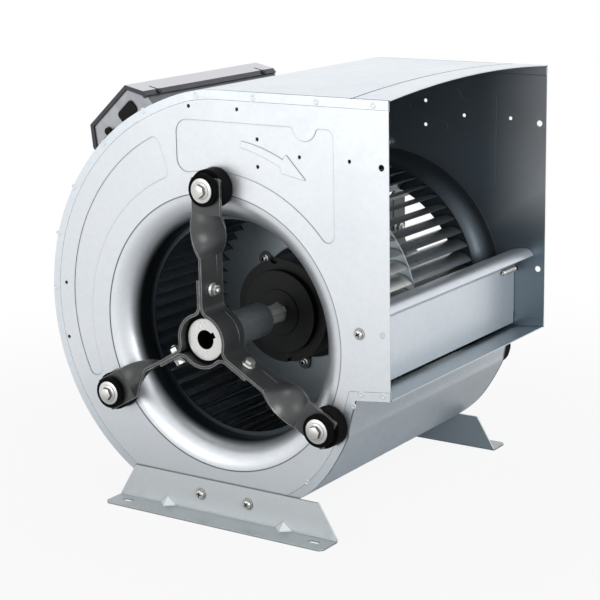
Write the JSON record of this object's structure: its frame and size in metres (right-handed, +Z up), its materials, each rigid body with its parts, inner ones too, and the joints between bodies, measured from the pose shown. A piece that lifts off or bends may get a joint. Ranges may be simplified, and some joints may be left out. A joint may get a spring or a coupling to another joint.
{
  "type": "centrifugal blower",
  "caption": "Double-inlet centrifugal blower: folded sheet scroll on slotted feet, drawn inlets with a strap bracket, forward-curved wheel on an external rotor motor, terminal box.",
  "frame": {"origin": "centre of the four slots in the feet, in the plane the feet stand on", "axes": "+X out of the outlet, +Z up, -Y out of the front inlet; the wheel turns about a line along Y 197 mm above the origin"},
  "size_m": [0.4211, 0.3972, 0.4524],
  "materials": {
    "wrap_steel": "satin galvanised sheet",
    "plate_steel": "pale satin galvanised sheet",
    "cutoff_steel": "satin galvanised sheet",
    "foot_steel": "galvanised",
    "strap_paint": "satin black coating",
    "zinc": "bright zinc plate",
    "rubber": "matte",
    "hub_steel": "turned",
    "shaft_steel": "ground",
    "motor_paint": "satin black",
    "core_steel": "stacked laminations",
    "copper": "enamelled wire",
    "bearing_steel": "ground",
    "wheel_steel": "galvanised sheet",
    "blade_steel": "galvanised sheet",
    "box_lid_paint": "satin dark coating",
    "box_steel": "mottled galvanised sheet",
    "black_plastic": "matte",
    "block_plastic": "matte",
    "capacitor_can": "satin"
  },
  "bodies": {
    "housing": {"scroll_wrap": "wrap_steel", "side_plate_front": "plate_steel", "side_plate_rear": "plate_steel", "cutoff_plate": "cutoff_steel", "cutoff_screws": "zinc", "foot_front": "foot_steel", "foot_rear": "foot_steel", "foot_screws": "zinc", "strap_right_front": "strap_paint", "strap_right_rear": "strap_paint", "strap_left_front": "strap_paint", "strap_left_rear": "strap_paint", "strap_bottom_front": "strap_paint", "strap_bottom_rear": "strap_paint", "clamp_bolts": "zinc", "clamp_nuts": "zinc", "mount_pads_front": "rubber", "mount_pads_rear": "rubber", "mount_buffers_front": "rubber", "mount_buffers_rear": "rubber", "mount_sleeves": "zinc", "mount_washers": "zinc", "mount_bolts": "zinc", "mount_nuts": "zinc", "hub_sleeve_front": "hub_steel", "hub_sleeve_rear": "hub_steel", "hub_rubber_front": "rubber", "hub_rubber_rear": "rubber", "motor_shaft": "shaft_steel", "shaft_keys": "shaft_steel", "stator_core": "core_steel", "stator_windings": "copper", "bearing_inner_rings": "bearing_steel", "terminal_box_base": "box_lid_paint", "terminal_box_cover": "box_lid_paint", "terminal_box_end_front": "box_steel", "terminal_box_end_rear": "box_steel", "box_cover_screws": "zinc", "box_floor_screws": "zinc", "terminal_block": "block_plastic", "capacitor": "capacitor_can", "cable_port_plug": "black_plastic", "cable_gland": "black_plastic"},
    "impeller": {"wheel_disc": "wheel_steel", "blades_front": "blade_steel", "blades_rear": "blade_steel", "end_ring_front": "wheel_steel", "end_ring_rear": "wheel_steel", "rotor_shell": "motor_paint", "rotor_cover": "motor_paint", "rotor_core": "core_steel", "bearing_outer_rings": "bearing_steel", "rotor_screws": "zinc", "rotor_nuts": "zinc"}
  },
  "joints": [
    {"name": "impeller_spin", "type": "hinge", "parent": "housing", "child": "impeller", "pos_m": [0, 0, 0.197], "axis": [0, 1, 0], "continuous": true}
  ]
}
